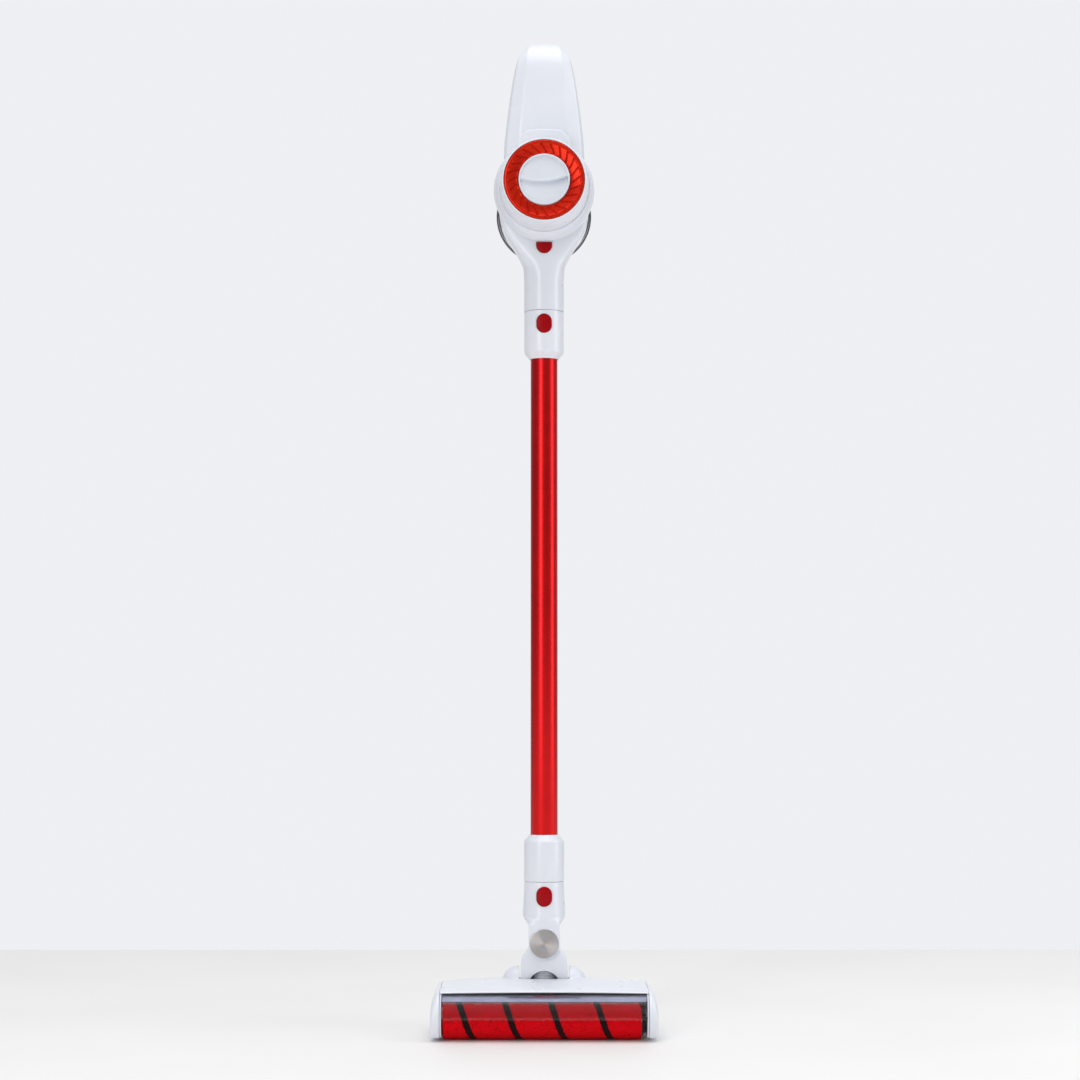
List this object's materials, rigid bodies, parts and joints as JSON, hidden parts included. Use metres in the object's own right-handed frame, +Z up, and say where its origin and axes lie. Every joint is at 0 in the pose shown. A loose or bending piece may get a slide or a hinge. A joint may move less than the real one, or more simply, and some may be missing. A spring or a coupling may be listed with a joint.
{
  "type": "cordless stick vacuum",
  "caption": "Upright cordless stick vacuum: hand-held motor unit with cyclone cup and battery grip, straight wand, swivelling head with a plush roller.",
  "frame": {"origin": "on the floor under the middle of the bounding box", "axes": "+Z up along the stick, -Y towards the front of the floor head, +X to the right as seen from the front"},
  "size_m": [0.25, 0.2196, 1.1341],
  "materials": {
    "white_abs": "moulded, satin gloss",
    "white_satin": "moulded, fine texture",
    "grey_plastic": "moulded",
    "dark_plastic": "moulded",
    "red_anodised": "red anodised",
    "red_ring": "metallic red, gloss",
    "red_button": "moulded, gloss",
    "spun_steel": "spun, radial sheen",
    "bright_steel": "ground",
    "spring_steel": "drawn wire",
    "clear_visor": "clear, polished",
    "smoke_lid": "smoked, polished",
    "filter_paper": "pleated",
    "foam": "open foam",
    "circuit": "solder mask",
    "cell_wrap": "shrink sleeve",
    "seal_rubber": "matt",
    "belt_rubber": "matt",
    "hose_rubber": "ribbed, soft",
    "plush": "short pile with dark bristle strips",
    "wheel_rubber": "matt"
  },
  "bodies": {
    "handheld": {"hub_shell": "white_abs", "exhaust_cover": "white_abs", "exhaust_ring": "red_ring", "main_body": "white_abs", "handle_top_cover": "white_abs", "handle_grip_shell": "white_satin", "battery_bay": "white_abs", "motor_can": "bright_steel", "motor_mount": "grey_plastic", "control_board": "circuit", "trigger_switch": "dark_plastic", "housing_screws": "bright_steel", "trigger_spring": "spring_steel", "cup_button_spring": "spring_steel"},
    "impeller_rotor": {"motor_shaft": "bright_steel", "impeller": "dark_plastic"},
    "exhaust_filter": {"filter_knob": "white_satin", "hepa_filter": "filter_paper"},
    "trigger_lever": {"trigger": "red_button"},
    "mode_key": {"mode_button": "grey_plastic"},
    "cup_button": {"cup_release_button": "red_button"},
    "dust_cup": {"cup_wall": "white_abs", "cyclone_shroud": "grey_plastic", "cyclone_cone": "dark_plastic", "pre_filter": "foam", "lid_hinge_pin": "bright_steel"},
    "dust_lid": {"cup_lid": "smoke_lid", "lid_seal": "seal_rubber"},
    "lid_catch": {"lid_latch": "grey_plastic"},
    "battery": {"battery_case": "white_abs", "battery_cells": "cell_wrap", "charge_jack": "dark_plastic"},
    "battery_catch": {"battery_latch": "grey_plastic"},
    "wand": {"wand_tube": "red_anodised", "wand_upper_collar": "white_abs", "wand_lower_collar": "white_abs", "wand_wire_duct": "grey_plastic", "wand_button_spring": "spring_steel"},
    "wand_button": {"wand_release_button": "red_button"},
    "head_neck": {"neck_collar": "white_abs", "swivel_cap": "spun_steel", "swivel_pins": "bright_steel", "neck_button_spring": "spring_steel"},
    "neck_button": {"neck_release_button": "red_button"},
    "swivel_yoke": {"yoke": "white_abs", "tilt_pins": "bright_steel", "swivel_hose": "hose_rubber", "tilt_hose": "hose_rubber"},
    "floor_head": {"head_chassis": "white_satin", "head_top_shell": "white_abs", "visor": "clear_visor", "left_end_cap": "white_abs", "right_end_cap": "white_abs", "roller_motor": "bright_steel", "drive_belt": "belt_rubber"},
    "roller": {"roller_core": "dark_plastic", "roller_sleeve": "plush"},
    "motor_drive": {"motor_pulley": "dark_plastic"},
    "left_wheel": {"wheel_left": "wheel_rubber"},
    "right_wheel": {"wheel_right": "wheel_rubber"}
  },
  "joints": [
    {"name": "impeller_spin", "type": "hinge", "parent": "handheld", "child": "impeller_rotor", "pos_m": [0, -0.00825, 0.955], "axis": [0, 1, 0], "continuous": true},
    {"name": "filter_twist", "type": "hinge", "parent": "handheld", "child": "exhaust_filter", "pos_m": [0, -0.09825, 0.955], "axis": [0, 1, 0], "range_deg": [0, 45]},
    {"name": "trigger_pull", "type": "slide", "parent": "handheld", "child": "trigger_lever", "axis": [0, 0, 1], "range_m": [0, 0.004], "stiffness_N_per_m": 300, "deforming": ["trigger_spring"]},
    {"name": "mode_button_press", "type": "slide", "parent": "handheld", "child": "mode_key", "axis": [0, 0, -1], "range_m": [0, 0.0008], "stiffness_N_per_m": 300},
    {"name": "cup_button_press", "type": "slide", "parent": "handheld", "child": "cup_button", "axis": [0, 1, 0], "range_m": [0, 0.0016], "stiffness_N_per_m": 300, "deforming": ["cup_button_spring"]},
    {"name": "cup_slide", "type": "slide", "parent": "handheld", "child": "dust_cup", "axis": [0, 1, 0], "range_m": [0, 0.12]},
    {"name": "lid_swing", "type": "hinge", "parent": "dust_cup", "child": "dust_lid", "pos_m": [0, 0.0799, 0.8947], "axis": [-1, 0, 0], "range_deg": [0, 95]},
    {"name": "lid_latch_press", "type": "slide", "parent": "dust_cup", "child": "lid_catch", "axis": [0, -1, 0], "range_m": [0, 0.003], "stiffness_N_per_m": 300},
    {"name": "battery_slide", "type": "slide", "parent": "handheld", "child": "battery", "axis": [0, 0, 1], "range_m": [0, 0.095]},
    {"name": "battery_latch_press", "type": "slide", "parent": "battery", "child": "battery_catch", "axis": [0, 0, -1], "range_m": [0, 0.0012], "stiffness_N_per_m": 300},
    {"name": "wand_slide", "type": "slide", "parent": "handheld", "child": "wand", "axis": [0, 0, -1], "range_m": [0, 0.06]},
    {"name": "wand_button_press", "type": "slide", "parent": "wand", "child": "wand_button", "axis": [0, 1, 0], "range_m": [0, 0.0016], "stiffness_N_per_m": 300, "deforming": ["wand_button_spring"]},
    {"name": "head_slide", "type": "slide", "parent": "wand", "child": "head_neck", "axis": [0, 0, -1], "range_m": [0, 0.06]},
    {"name": "neck_button_press", "type": "slide", "parent": "head_neck", "child": "neck_button", "axis": [0, 1, 0], "range_m": [0, 0.0016], "stiffness_N_per_m": 300, "deforming": ["neck_button_spring"]},
    {"name": "swivel_roll", "type": "hinge", "parent": "head_neck", "child": "swivel_yoke", "pos_m": [0, -0.00825, 0.099], "axis": [0, 1, 0], "range_deg": [-70, 70], "deforming": ["swivel_hose"]},
    {"name": "head_tilt", "type": "hinge", "parent": "swivel_yoke", "child": "floor_head", "pos_m": [0, -0.00825, 0.055], "axis": [1, 0, 0], "range_deg": [0, 80], "deforming": ["tilt_hose"]},
    {"name": "roller_spin", "type": "hinge", "parent": "floor_head", "child": "roller", "pos_m": [0, -0.08025, 0.025], "axis": [1, 0, 0], "continuous": true},
    {"name": "motor_drive_spin", "type": "hinge", "parent": "floor_head", "child": "motor_drive", "pos_m": [-0.118, -0.03025, 0.03], "axis": [1, 0, 0], "continuous": true},
    {"name": "left_wheel_spin", "type": "hinge", "parent": "floor_head", "child": "left_wheel", "pos_m": [-0.055, -0.00325, 0.013], "axis": [1, 0, 0], "continuous": true},
    {"name": "right_wheel_spin", "type": "hinge", "parent": "floor_head", "child": "right_wheel", "pos_m": [0.055, -0.00325, 0.013], "axis": [1, 0, 0], "continuous": true}
  ],
  "couplings": [
    {"joint": "motor_drive_spin", "follows": "roller_spin", "ratio": 2}
  ]
}
